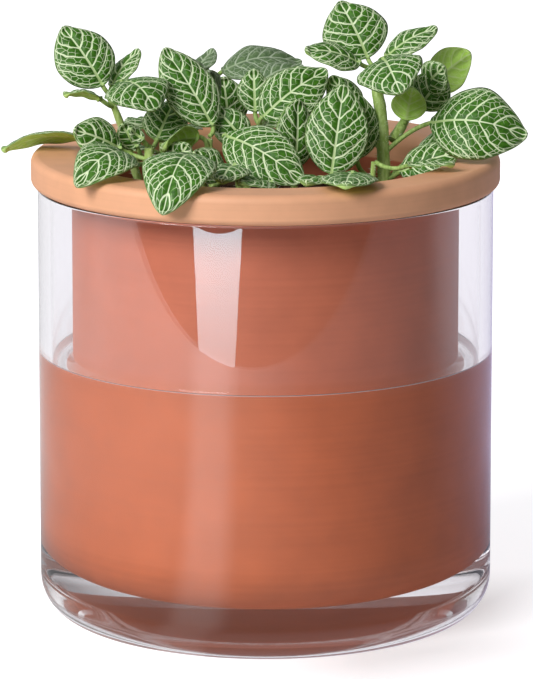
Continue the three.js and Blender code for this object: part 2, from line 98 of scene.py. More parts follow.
# Sprigs in millimetres: stem radius, whether it is rooted, the stem's knots, and its leaves.
# A leaf is the knot that it grows from, the blade's base and tip, its width,
# the side that its upper face turns to (azimuth, elevation) and how far it arches.
SPRIGS = {
    "left": (1.4, True, (
        (-38, 4, 130), (-41.2, 2, 142.2), (-43.7, 0, 151.4), (-46.2, -1, 158.5), (-47.7, -1, 162.5),
    ), (
        (4, (-49.7, -2, 165.5), (-62.1, 6, 182.3), 19, (-80, 33), 2),
        (4, (-47.2, 3, 164.3), (-38.6, 10, 174.6), 11, (0, 90), 1.5),
        (3, (-50.2, -4, 161.6), (-61.7, -6, 163.2), 11, (90, 72), 2),
        (4, (-44.1, -6, 167.2), (-33.2, -20, 160.8), 22, (-65, 37), 4),
        (1, (-55.7, 3, 148.6), (-81.2, 4, 144.2), 15, (90, 67), 3),
        (1, (-39.2, -9, 147.7), (-44.2, -8, 154.7), 9, (-90, 43), 0.5),
    )),
    "front_left": (2, True, ((-33, -14, 130), (-34.2, -16, 137), (-35.2, -17, 145.1), (-35.2, -17, 149.1)), (
        (2, (-44.2, -16, 148.6), (-58.2, -21, 155.3), 15, (-95, 38), 1.5),
        (2, (-40.2, -32, 148.3), (-56.2, -54, 143.7), 18, (-105, 42), 7),
        (3, (-37.2, -19, 151.7), (-41.7, -20, 155.3), 6, (-90, 43), 0.5),
        (3, (-33.2, -8, 149.7), (-27.7, 4, 160.2), 14, (-90, 48), 1),
    )),
    "mid_left": (1.6, True, (
        (-15, -16, 130), (-16.2, -15, 138.9), (-17.2, -13, 146.9), (-17.2, -12, 150.9),
    ), (
        (3, (-16.2, -9, 154.3), (-31.1, 2, 176.4), 17, (-80, 38), 2),
        (2, (-20.2, -15, 152), (-31.2, -24, 149.9), 12, (90, 32), 2),
    )),
    "rim_left": (1.3, True, ((-17, -33, 130), (-18.2, -35, 137.8), (-18.7, -38, 145)), (
        (2, (-21.2, -45, 151.4), (-30.2, -73, 139), 22, (-100, 43), 8),
        (1, (-9.2, -36, 146.9), (-13.2, -51, 144.6), 13, (-90, 68), 2),
    )),
    "centre_front": (1.5, True, (
        (-2, -22, 130), (-4.2, -22, 134.2), (-8.2, -20, 143.2), (-10.2, -18, 150.2),
    ), (
        (3, (-12.2, -20, 153.3), (11.4, -33, 141.3), 19, (-100, 43), 4),
    )),
    "centre": (1.6, True, ((3, -4, 130), (1.8, -2, 138.3), (-0.2, 0, 148.3), (-1.7, 1, 152.3)), (
        (3, (-1.2, -1, 155.4), (18.8, 8, 168.6), 18, (-100, 33), 3),
        (3, (-3.2, 5, 156.2), (-3.7, 11, 168.5), 11, (-90, 23), 1),
        (1, (6.9, -4, 145.5), (12.8, 1, 155.3), 12, (-60, 32), 1),
    )),
    "back": (1.6, True, ((-8, 30, 130), (-10.2, 33, 141.8), (-11.7, 36, 153.8), (-12.2, 38, 158.7)), (
        (3, (-13.7, 46, 161.9), (11.3, 51, 163.7), 19, (-90, 65), 4),
        (2, (-3.2, 31, 159), (11.8, 36, 164.8), 14, (-90, 68), 3),
        (3, (-18.2, 38, 163.7), (-29.1, 38, 166.3), 9, (0, 90), 2),
        (2, (-22.2, 45, 161.4), (-16.2, 53, 167.6), 9, (-150, 81), 1),
        (1, (-15.2, 24, 157.3), (-18.2, 20, 166.6), 9, (-60, 22), 0.5),
    )),
    "back_left": (1.3, True, ((-31, 22, 130), (-32, 24, 139), (-32, 25, 143)), (
        (2, (-35, 30, 146.5), (-43, 42, 147), 12, (0, 90), 2),
        (2, (-28.5, 30, 146), (-22, 43, 144.5), 12, (0, 90), 1.5),
        (1, (-36, 20, 142), (-47, 15, 142.5), 11, (0, 90), 1.5),
    )),
    "back_right": (1.3, True, ((9, 27, 130), (10, 29, 139), (10, 30, 143)), (
        (2, (14, 35, 146), (24, 46, 146), 12, (0, 90), 2),
        (2, (7, 35, 146), (0, 47, 145), 11, (0, 90), 1.5),
        (1, (14, 23, 142), (22, 14, 141), 11, (0, 90), 1.5),
    )),
    "right": (2.2, True, (
        (37, -10, 130), (36.4, -10, 136.7), (35.9, -8, 145.7), (35.4, -4, 156.6), (33.8, -1, 165.5),
        (33.3, 0, 170.5),
    ), (
        (5, (31.3, 2, 173.4), (22.8, 12, 189.1), 21, (-85, 33), 2),
        (5, (28.8, -3, 172.6), (11.8, -7, 177.3), 14, (-90, 63), 2),
        (5, (36.8, 3, 173.4), (52.8, 8, 181.7), 12, (-90, 68), 2),
        (5, (35.8, -6, 174.3), (40.9, -24, 166.5), 21, (-115, 57), 4),
        (2, (50.4, -9, 155.3), (79.4, -14, 152), 25, (-80, 33), 6),
        (2, (28.4, 6, 155.1), (19.8, 9, 166.6), 12, (-80, 43), 1),
        (1, (45.9, -8, 145), (62.9, -8, 150.6), 14, (-100, 53), 1.5),
    )),
    "right_fork": (1.6, False, ((38.9, -4, 149), (42.4, 0, 153.9), (44.9, 3, 159.3), (46.8, 4, 163.3)), (
        (1, (42.9, -3, 155), (44.8, -6, 165.7), 11, (90, 7), 1),
        (3, (48.3, -1, 164.5), (54.8, -6, 172.3), 12, (-80, 38), 1),
        (3, (50.3, 6, 164.2), (63.3, 14, 173.4), 14, (80, 17), 1.5),
    )),
    "front_right": (1.4, True, ((20, -22, 130), (19.9, -24, 133.3), (19.9, -25, 138.4)), (
        (2, (19.9, -25, 142.4), (23.8, -12, 167.5), 19.5, (-90, 18), 1.5),
        (1, (25.9, -46, 146.4), (23.4, -72, 147.5), 18, (-90, 88), 1.5),
    )),
    "right_rim": (1.1, True, ((33, -20, 130), (32.4, -20, 137.1), (32.9, -20, 145.2)), (
        (2, (42.9, -28, 145.6), (56.9, -34, 146.8), 10, (0, 90), 1.5),
        (1, (16.9, -36, 142.9), (11.9, -50, 144), 11, (-90, 73), 1.5),
    )),
}

# Small leaves that fill the crown from within, on knots of the sprigs above.
INNER_LEAVES = {
    "centre_front": (
        (2, (-12.2, -27, 142.5), (-22.2, -30, 149.7), 12, (-90, 43), 1),
        (1, (1.9, -34, 141.3), (-8.2, -47, 143.9), 12, (-90, 73), 1),
    ),
    "centre": (
        (1, (8.9, -10, 141.7), (9.8, -3, 161.6), 14, (-60, 27), 1),
        (3, (1.8, 14, 155.8), (7.8, 22, 165.5), 14, (-90, 43), 1),
        (2, (-6.2, -6, 148.6), (-15.2, -2, 158.5), 12, (-90, 38), 1),
    ),
    "right": (
        (1, (27.9, -12, 144.8), (26.8, -6, 164.7), 16, (-75, 27), 1),
        (1, (40.9, -14, 140.9), (58.9, -16, 147.5), 14, (-95, 43), 1.5),
    ),
    "back": ((1, (-11.2, 30, 147), (-13.2, 31, 163), 14, (-90, 18), 1),),
    "front_left": ((1, (-29.2, -20, 142.2), (-23.2, -22, 151.3), 12, (-80, 33), 1),),
    "right_fork": ((2, (46.6, -2, 158.6), (54.6, -3, 169.4), 13.5, (-70, 30), 1),),
}


def linear(code):
    """Turns an sRGB hex colour into linear values with alpha."""
    parts = [int(code[at:at + 2], 16) / 255 for at in (1, 3, 5)]
    return [c / 12.92 if c <= 0.04045 else ((c + 0.055) / 1.055) ** 2.4 for c in parts] + [1.0]


def add_node(tree, kind, *wires, inputs=None, **settings):
    """Adds a node, sets its properties, and fills its inputs in order or by name with values or nodes."""
    kind, preset = (kind, {}) if isinstance(kind, str) else kind
    node = tree.nodes.new(kind)
    for name, value in {**preset, **settings}.items():
        setattr(node, name, value)
    pairs = list(zip([socket for socket in node.inputs if socket.enabled], wires))
    pairs += [(node.inputs[name], wire) for name, wire in (inputs or {}).items()]
    for socket, wire in pairs:
        if isinstance(wire, bpy.types.Node):
            wire = next(out for out in wire.outputs if out.enabled)
        if isinstance(wire, bpy.types.NodeSocket):
            tree.links.new(wire, socket)
        else:
            socket.default_value = wire
    return node


def new_material(name):
    """Starts an empty material, and gives it with the function that adds a node to it."""
    material = bpy.data.materials.new(name)
    material.use_nodes = True
    material.node_tree.nodes.clear()
    return material, partial(add_node, material.node_tree)


def clear_body(name, ior, tint, from_inside=None):
    """A clear dielectric that lamps and bounced light pass through, so the clay behind it is lit as in air.

    from_inside is the index for rays that leave the body, where it differs."""
    material, add = new_material(name)
    if from_inside is not None:
        ior = add(BETWEEN, add(SHAPE).outputs["Backfacing"], ior, from_inside)
    path = add(LIGHT_PATH).outputs
    passing = add(LARGER, path["Is Shadow Ray"], path["Is Diffuse Ray"])
    body = add(PRINCIPLED, inputs={
        "Base Color": tint, "Roughness": 0.0, "IOR": ior, "Transmission Weight": 1.0,
    })
    add(OUTPUT, add(EITHER, passing, body, add(SEE_THROUGH)))
    return material


def water_contact(name):
    """Where water touches glass there is no face to see: the glass's own face carries the change of index."""
    material, add = new_material(name)
    add(OUTPUT, add(SEE_THROUGH))
    return material


def painted_water_line(name, tone):
    """Painted highlight: where the water's edge thins out on the glass, a matt pale tone draws the light it
    catches as a fine line.
    """
    material, add = new_material(name)
    add(OUTPUT, add(EITHER, 0.7, add(SEE_THROUGH), add(MATT, tone)))
    return material


def water_edge(name, tone):
    """The surface where it climbs the glass: pale from above, as a painted reflection of the room, clear from
    below.
    """
    material, add = new_material(name)
    path = add(LIGHT_PATH).outputs
    shape = add(SHAPE).outputs
    passing = add(LARGER, path["Is Shadow Ray"], path["Is Diffuse Ray"])
    passing = add(LARGER, passing, shape["Backfacing"])
    # Painted reflection: the steeper the face, the more a matt pale tone, up to 0.7, stands in for the room
    # that it mirrors.
    painted_reflection_share = add(MAP, add(SPLIT, shape["Normal"]).outputs["Z"], 0.97, 0.7, 0.0, 0.7)
    surface = add(PRINCIPLED, inputs={"Roughness": 0.0, "IOR": WATER_IOR, "Transmission Weight": 1.0})
    above = add(EITHER, painted_reflection_share, surface, add(MATT, tone))
    add(OUTPUT, add(EITHER, passing, above, add(SEE_THROUGH)))
    return material


def end_opaque(add, colour, roughness, gleam, height, strength, depth):
    """Ends an opaque material: colour, roughness and specular level, and the relief's strength and depth."""
    bump = add("ShaderNodeBump", inputs={"Strength": strength, "Distance": depth, "Height": height})
    body = add(PRINCIPLED, inputs={
        "Base Color": colour, "Roughness": roughness, "Specular IOR Level": gleam, "Normal": bump,
    })
    add(OUTPUT, body)


def fired_clay(name, rim_tone, body_tone, wet_tone):
    """Unglazed terracotta, turned and fired: matt and smooth, with faint turning lines and soft blotches.

    The rim is dry and pale. The body draws water, so it is darker and warmer from just under the rim, and
    deepest in colour where it stands in the water."""
    material, add = new_material(name)
    place = add(PLACE).outputs["Object"]
    height = add(SPLIT, place).outputs["Z"]
    blotch = add(NOISE, place, inputs={"Scale": 1 / (14 * MM), "Detail": 3.0, "Roughness": 0.55})
    # Turning lines are bands of height alone, about 1.6 mm apart with uneven depth.
    turn_count = add(TIMES, height, 1 / (1.6 * MM))
    lines = add(NOISE, inputs={"W": turn_count, "Scale": 1.0, "Detail": 2.0}, noise_dimensions="1D")
    # The clay turns damp over 0.6 mm at the rim's lower edge, and soaked over 5 mm at the water's level.
    damp = add(MAP, height, POT_TOP.z - 9.0 * MM, POT_TOP.z - 9.6 * MM)
    soaked = add(MAP, height, WATER_TOP.z + 4 * MM, WATER_TOP.z - 1 * MM)
    tone = add(BLEND, soaked, add(BLEND, damp, rim_tone, body_tone), wet_tone)
    shade = add(TIMES, add(MAP, blotch, 0.3, 0.7, 0.92, 1.06), add(MAP, lines, 0.3, 0.7, 0.975, 1.025))
    colour = add(BLEND, 1.0, tone, shade, blend_type="MULTIPLY")
    end_opaque(add, colour, roughness=0.62, gleam=0.65, height=lines, strength=0.2, depth=0.03 * MM)
    return material


def damp_peat(name, dark, light):
    """Damp peat mix: dark crumbs with a few dry brown fibres, fully matt."""
    material, add = new_material(name)
    crumb = add(NOISE, add(PLACE).outputs["Object"], inputs={
        "Scale": 1 / (2.5 * MM), "Detail": 4.0, "Roughness": 0.65,
    })
    colour = add(BLEND, add(MAP, crumb, 0.35, 0.7), dark, light)
    end_opaque(add, colour, roughness=0.95, gleam=0.2, height=crumb, strength=0.6, depth=0.5 * MM)
    return material


def leaf_skin(name, cell_dark, cell_light, vein_tone, rib_tone, boldness, roughness):
    """Living leaf, waxy and quilted: dark cells between pale veins.

    The blade's own attributes give millimetres: phase counts the side veins, grain is the distance that one
    count takes, across and along run from the midrib and the base, and edge is the way to the margin."""
    material, add = new_material(name)
    place = add(PLACE).outputs["Object"]
    phase, grain, across, along, edge, seed = (
        add("ShaderNodeAttribute", attribute_name=field).outputs["Fac"]
        for field in ("phase", "grain", "across", "along", "edge", "leaf_seed"))
    away = add(SIZE, across)
    side = add(MATH, across, operation="SIGN")

    # A 3 mm wander keeps the net from looking ruled.
    wander = add(MINUS, add(NOISE, place, inputs={"Scale": 1 / (3 * MM), "Detail": 1.0}), 0.5)
    count = add(TIMES_PLUS, wander, 0.34, phase)
    # Side veins are about 0.5 mm wide at the rib and half that at the margin.
    near = add(MINUS, add(MATH, add(PLUS, count, 0.5), operation="FRACT"), 0.5)
    near = add(TIMES, add(SIZE, near), grain)
    reach = add(MAP, edge, 0.0, 5.0, 0.13, 0.24)
    side_vein = add(EASE, add(MINUS, near, reach), 0.09, -0.09)

    # Between the side veins lies a net of uneven meshes, about 2.1 mm wide, finer towards the margin.
    pitch = add(MAP, edge, 0.0, 6.0, 1.6, 2.3)
    run = add(OVER, add(TIMES_PLUS, away, 0.74, add(TIMES, along, 0.67)), 2.1)
    start = add(TIMES_PLUS, side, 37.0, seed)
    spot = add("ShaderNodeCombineXYZ", add(TIMES_PLUS, count, 1.75, start), run)
    rung = add("ShaderNodeTexVoronoi", spot, inputs={"Scale": 1.0, "Randomness": 0.8},
               voronoi_dimensions="2D", feature="DISTANCE_TO_EDGE")
    rung = add(EASE, add(TIMES, rung, pitch), 0.15, 0.04, 0.0, 0.75)
    rung = add(TIMES, rung, add(MAP, away, 0.7, 2.4))

    # A vein runs inside the margin and scallops between the side veins.
    bay = add(MATH, add(TIMES, count, math.pi), operation="SINE")
    bay = add(TIMES_PLUS, add(SIZE, bay), -0.45, 1.35)
    hem = add(EASE, add(SIZE, add(MINUS, edge, bay)), 0.19, 0.06, 0.0, 0.7)
    net = add(LARGER, add(LARGER, side_vein, rung), hem)
    net = add(TIMES, net, add(MAP, edge, 0.1, 0.5, 0.0, boldness))

    # The midrib is broad and yellow-green at the stalk and thin and pale at the tip.
    rib_half = add(MAP, along, 0.0, 22.0, 0.48, 0.16)
    rib = add(EASE, add(MINUS, away, rib_half), 0.1, -0.1)
    rib = add(TIMES, rib, min(1.0, boldness + 0.1))

    mottle = add(NOISE, place, inputs={"Scale": 1 / (1.1 * MM), "Detail": 2.0})
    cells = add(BLEND, add(MAP, mottle, 0.3, 0.75), cell_dark, cell_light)
    # Painted light: the thin margin is drawn paler than the cells, for the light that comes through it.
    cells = add(BLEND, add(MAP, edge, 0.55, 0.1, 0.0, 0.55), cells, rib_tone)
    colour = add(BLEND, net, cells, vein_tone)
    colour = add(BLEND, rib, colour, add(BLEND, add(MAP, along, 0.0, 18.0), rib_tone, vein_tone))
    relief = add(TIMES_PLUS, add(LARGER, net, rib), -1.0, mottle)
    end_opaque(add, colour, roughness, gleam=0.2, height=relief, strength=0.5, depth=0.12 * MM)
    return material


def stem_skin(name, shade, light):
    """Young green stem: satin, streaked along its length between a darker and a yellower green."""
    material, add = new_material(name)
    stretch = add("ShaderNodeMapping", add(PLACE).outputs["Object"], inputs={"Scale": (1.0, 1.0, 0.2)})
    streak = add(NOISE, stretch, inputs={"Scale": 1 / (0.8 * MM), "Detail": 2.0})
    colour = add(BLEND, add(MAP, streak, 0.3, 0.7), shade, light)
    end_opaque(add, colour, roughness=0.55, gleam=0.35, height=streak, strength=0.3, depth=0.1 * MM)
    return material


def stem_hair(name, pale, green):
    """Fine plant hair: pale and soft, so it catches light along the stem's edge."""
    material, add = new_material(name)
    patch = add(NOISE, add(PLACE).outputs["Object"], inputs={"Scale": 1 / (2 * MM)})
    colour = add(BLEND, add(MAP, patch, 0.3, 0.7, 0.0, 0.3), pale, green)
    add(OUTPUT, add(PRINCIPLED, inputs={"Base Color": colour, "Roughness": 0.6}))
    return material


def sweep_table(name, glow):
    """Matt white table top that glows a little, so it reads white to the camera and in the glass.

    The glow grows with the distance from the jar, which keeps the shadow. Rays out of the glass find it white
    behind the jar and as bright as the room elsewhere: brighter on the left, as the painted reflection of a
    window.
    The glow also paints light and shade: a shadow at the glass's foot, the pot's foot in clay brown under the
    jar for see-through rays, and light under the pot that lights its foot. Distances are metres from the
    jar's axis."""
    material, add = new_material(name)
    path = add(LIGHT_PATH).outputs
    mirror, through = path["Is Glossy Ray"], path["Is Transmission Ray"]
    place = add(PLACE).outputs["Object"]
    away = add("ShaderNodeVectorMath", place, operation="LENGTH").outputs["Value"]
    way = add(SPLIT, place).outputs
    right, back = way["X"], way["Y"]
    open_floor = add(MAP, away, 0.12, 0.8, add(MAP, back, -0.04, 0.05, glow, 0.79), 0.95)
    # Painted shadow: the glow is taken down at the glass's foot, most in front, on the right.
    painted_foot_shadow = add(TIMES, add(MAP, away, 0.07, 0.125, 0.5, 0.0), add(MAP, right, -0.03, 0.03))
    painted_foot_shadow = add(TIMES, painted_foot_shadow, add(MAP, back, 0.05, -0.05))
    open_floor = add(MINUS, open_floor, painted_foot_shadow)
    # Painted reflection: for mirror rays the table glows bright left of the jar and behind it, dim before it
    # on the right.
    ahead = add(MAP, right, -0.3, 0.15, 1.1, 0.22)
    mirrored = add(BETWEEN, add(MAP, back, -0.05, 0.2), ahead, 0.8)
    # A painted stripe of window light, for mirror rays, lies on the table 25 degrees left of the front.
    turned = add(MATH, right, add(TIMES, back, -1.0), operation="ARCTAN2")
    turned = add(SIZE, add(PLUS, turned, math.radians(25)))
    mirrored = add(PLUS, mirrored, add(EASE, turned, math.radians(4), math.radians(14), 1.7, 0.0))
    mirrored = add(TIMES, add(MAP, away, 0.08, 0.25, 0.5, 1.0), mirrored)
    # See-through rays: white behind the jar, and pale beside its base.
    inner = add(SMALLER, add(TIMES, mirrored, 1.5), 1.6)
    behind = add(BETWEEN, add(MAP, back, 0.03, 0.12), inner, 1.0)
    clear_of_foot = add(MAP, away, 0.058, 0.068)
    beside = add(TIMES, add(MAP, away, 0.12, 0.2, 1.0, 0.0), add(MAP, back, -0.05, -0.01, 0.3, 0.75))
    behind = add(LARGER, behind, add(TIMES, beside, clear_of_foot))
    # Painted reflection: the base mirrors the pot's foot over the table under it, so for see-through rays
    # that part is painted clay brown.
    behind = add(BETWEEN, clear_of_foot, 0.7, behind)
    under = add(TIMES, through, add(MINUS, 1.0, clear_of_foot))
    # A refracted ray counts as a mirror ray too, so it is taken off.
    outer = add(MINUS, mirror, through, use_clamp=True)
    # Painted reflection: right of the jar the glow that mirror rays find turns a cool lavender.
    cool = add(TIMES, outer, add(MAP, right, -0.05, 0.15))
    pale = add(BLEND, cool, linear("#fdfcff"), linear("#dad3f8"))
    painted_reflection_tint = add(BLEND, under, pale, linear("#ac6a58"))
    # Painted reflection: the round heel mirrors the table at its foot as white, so the glow for mirror rays
    # is raised there.
    mirrored = add(LARGER, mirrored, add(MAP, away, 0.08, 0.105, 0.75, 0.0))
    # Painted light: under the pot the table glows for bounce rays, for the light that the thick base gathers
    # there, which lights the pot's foot from below.
    painted_gathered_light = add(MAP, away, 0.068, 0.06, 0.0, 0.3)
    light = add(TIMES, path["Is Camera Ray"], open_floor)
    for ray, strength in ((path["Is Diffuse Ray"], painted_gathered_light), (through, behind), (outer, mirrored)):
        light = add(TIMES_PLUS, ray, strength, light)
    white = add(BLEND, add(LARGER, mirror, through), linear("#f4f4f6"), linear("#000000"))
    add(OUTPUT, add("ShaderNodeAddShader", add(MATT, white), add(GLOW, painted_reflection_tint, light)))
    return material


def light_panel(name, strength, low, high):
    """Plain glowing panel that only mirror rays see, brighter towards its top."""
    material, add = new_material(name)
    height = add(SPLIT, add(PLACE).outputs["Object"]).outputs["Z"]
    add(OUTPUT, add(GLOW, linear("#d6f4ff"), add(MAP, height, low, high, 0.3 * strength, strength)))
    return material


def new_tree(name, result, sockets):
    """Starts a Geometry Nodes tree, and gives it, the function that adds a node, and its named inputs."""
    tree = bpy.data.node_groups.new(name, "GeometryNodeTree")
    for label, kind in sockets.items():
        tree.interface.new_socket(label, in_out="INPUT", socket_type="NodeSocket" + kind)
    tree.interface.new_socket(result, in_out="OUTPUT", socket_type="NodeSocketGeometry")
    add = partial(add_node, tree)
    return tree, add, add("NodeGroupInput").outputs


def turned_tree():
    """Geometry Nodes: rounds the corners of an outline of radius and height, and turns it round Z."""
    tree, add, given = new_tree("turned body", "Body", {
        "Outline": "Geometry", "Sides": "Int", "Round Steps": "Int", "Guide Radius": "Float",
        "Finish": "Material",
    })
    rounds = add("GeometryNodeInputNamedAttribute", "round", data_type="FLOAT")
    line = add("GeometryNodeMeshToCurve", given["Outline"])
    line = add("GeometryNodeFilletCurve", line, given["Round Steps"], rounds, True, mode="POLY")
    guide = add(CIRCLE, given["Sides"], inputs={"Radius": given["Guide Radius"]})
    body = add("GeometryNodeCurveToMesh", guide, line)
    body = add("GeometryNodeMergeByDistance", body, inputs={"Distance": 0.002 * MM})
    body = add(SMOOTH, body, inputs={"Shade Smooth": True})
    body = add(REALIZE, body)
    add("NodeGroupOutput", add(FINISH, body, inputs={"Material": given["Finish"]}))
    return tree


def stem_tree():
    """Geometry Nodes: a tapering tube along a path, with fine hairs standing on it."""
    tree, add, given = new_tree("hairy stem", "Stem", {
        "Path": "Geometry", "Radius": "Float", "Top Share": "Float", "Hair Length": "Float",
        "Hair Density": "Float", "Seed": "Int", "Skin": "Material", "Hair": "Material",
    })
    path = add("GeometryNodeMeshToCurve", given["Path"])
    path = add("GeometryNodeCurveSplineType", path, spline_type="CATMULL_ROM")
    path = add("GeometryNodeResampleCurve", path, inputs={"Length": 0.8 * MM}, mode="LENGTH")
    height = add("GeometryNodeSplineParameter").outputs["Factor"]
    knob = add(NOISE, inputs={"Scale": 1 / (4 * MM), "Detail": 1.0})
    taper = add(MAP, height, 0.0, 1.0, 1.0, given["Top Share"])
    taper = add(TIMES, taper, add(MAP, knob, 0.3, 0.7, 0.9, 1.1))
    ring = add(CIRCLE, 14, inputs={"Radius": given["Radius"]})
    tube = add("GeometryNodeCurveToMesh", path, ring, taper, True)
    tube = add(SMOOTH, tube, inputs={"Shade Smooth": True})
    spots = add(SCATTER, tube, inputs={"Density": given["Hair Density"], "Seed": given["Seed"]})
    hair = add("GeometryNodeMeshCone", 3, inputs={
        "Radius Top": 0.01 * MM, "Radius Bottom": 0.06 * MM, "Depth": given["Hair Length"],
    })
    size = add("FunctionNodeRandomValue", 0.5, 1.3, data_type="FLOAT")
    hairs = add(INSTANCE, spots, inputs={
        "Instance": hair, "Rotation": spots.outputs["Rotation"], "Scale": size,
    })
    hairs = add(FINISH, add(REALIZE, hairs), inputs={"Material": given["Hair"]})
    tube = add(FINISH, tube, inputs={"Material": given["Skin"]})
    both = add("GeometryNodeJoinGeometry")
    for part in (tube, hairs):
        tree.links.new(part.outputs[0], both.inputs[0])
    add("NodeGroupOutput", both)
    return tree


def crumb_tree():
    """Geometry Nodes: roughens the top of the potting mix and scatters crumbs over it."""
    tree, add, given = new_tree("crumbly top", "Mix", {
        "Body": "Geometry", "Crumb Size": "Float", "Crumb Density": "Float", "Unevenness": "Float",
        "Seed": "Int", "Finish": "Material",
    })
    facing = add(SPLIT, add("GeometryNodeInputNormal")).outputs["Z"]
    top = add("FunctionNodeCompare", facing, 0.7, data_type="FLOAT", operation="GREATER_THAN")
    wave = add(MINUS, add(NOISE, inputs={"Scale": 1 / (9 * MM), "Detail": 3.0}), 0.5)
    lift = add("ShaderNodeCombineXYZ", inputs={"Z": add(TIMES, wave, given["Unevenness"])})
    body = add("GeometryNodeSetPosition", given["Body"], inputs={"Selection": top, "Offset": lift})
    spots = add(SCATTER, body, inputs={
        "Selection": top, "Density": given["Crumb Density"], "Seed": given["Seed"],
    })
    crumb = add("GeometryNodeMeshIcoSphere", given["Crumb Size"], 1)
    size = add("FunctionNodeRandomValue", (0.4, 0.4, 0.3), (1.5, 1.2, 0.9), data_type="FLOAT_VECTOR")
    crumbs = add(INSTANCE, spots, inputs={
        "Instance": crumb, "Rotation": spots.outputs["Rotation"], "Scale": size,
    })
    both = add("GeometryNodeJoinGeometry")
    for part in (body, add(REALIZE, crumbs)):
        tree.links.new(part.outputs[0], both.inputs[0])
    add("NodeGroupOutput", add(FINISH, both, inputs={"Material": given["Finish"]}))
    return tree


def link(name, data):
    """Puts a mesh, lamp or camera into the scene as an object at the origin."""
    piece = bpy.data.objects.new(name, data)
    bpy.context.collection.objects.link(piece)
    return piece


def grow(name, source, tree, values):
    """Runs a Geometry Nodes tree on a source object and keeps the result as a plain mesh object."""
    modifier = source.modifiers.new("build", "NODES")
    modifier.node_group = tree
    for item in tree.interface.items_tree:
        if item.in_out == "INPUT" and item.name in values:
            modifier[item.identifier] = values[item.name]
    graph = bpy.context.evaluated_depsgraph_get()
    mesh = bpy.data.meshes.new_from_object(source.evaluated_get(graph), depsgraph=graph)
    bpy.data.objects.remove(source)
    if not mesh.polygons:
        raise RuntimeError(f"{name} came out empty")
    mesh.name = name
    return link(name, mesh)


def coat(mesh, *finishes):
    """Adds finishes to a mesh, in the order of its faces' material numbers."""
    for finish in finishes:
        mesh.materials.append(finish)


def mark(mesh, field, values):
    """Stores one number on each point of a mesh."""
    mesh.attributes.new(field, "FLOAT", "POINT").data.foreach_set("value", values)


def polyline(name, points):
    """A mesh of edges alone that carries a path or an outline into a Geometry Nodes tree."""
    mesh = bpy.data.meshes.new(name)
    mesh.from_pydata(points, [(at, at + 1) for at in range(len(points) - 1)], [])
    return link(name, mesh)


def turn(name, outline, finish, sides):
    """Turns an outline of (radius, height, corner round), in metres, into a closed body.

    Curve to Mesh lays an outline's x along the guide's radius and its y downwards."""
    tree = bpy.data.node_groups.get("turned body") or turned_tree()
    guide = max(radius for radius, _, _ in outline)
    source = polyline(name + ".outline", [(radius - guide, -height, 0.0) for radius, height, _ in outline])
    mark(source.data, "round", [corner for _, _, corner in outline])
    body = grow(name, source, tree, {
        "Sides": sides, "Round Steps": ROUND_STEPS, "Guide Radius": guide, "Finish": finish,
    })
    true_normals(body.data)
    return body


def oval(wall, floor, width, rise):
    """Outline points of an oval inside corner, from the floor to the wall."""
    angles = [math.radians(angle) for angle in range(-90, 1, 5)]
    return [(wall - width + width * math.cos(angle), floor + rise + rise * math.sin(angle), 0.0)
            for angle in angles]


def read(items, field, width, kind):
    """Reads one field of all of a mesh's faces or corners into rows."""
    values = np.empty(len(items) * width, dtype=kind)
    items.foreach_get(field, values)
    return values.reshape(-1, width)


def true_normals(mesh):
    """Weighs each point's normal by its faces' areas, so a long wall keeps its own beside a small round."""
    weighed = read(mesh.polygons, "normal", 3, float) * read(mesh.polygons, "area", 1, float)
    corners = read(mesh.polygons, "loop_total", 1, np.int32).ravel()
    at = read(mesh.loops, "vertex_index", 1, np.int32).ravel()
    points = np.zeros((len(mesh.vertices), 3))
    np.add.at(points, at, np.repeat(weighed, corners, axis=0))
    points /= np.maximum(np.linalg.norm(points, axis=1, keepdims=True), 1e-12)
    mesh.normals_split_custom_set_from_vertices(points.tolist())


def bend(start, middle, end, shares):
    """Points and directions of a quadratic curve at the given shares of its way."""
    at = shares[:, None]
    points = (1 - at) ** 2 * start + 2 * (1 - at) * at * middle + at ** 2 * end
    ways = 2 * (1 - at) * (middle - start) + 2 * at * (end - middle)
    return points, ways / np.linalg.norm(ways, axis=1, keepdims=True)


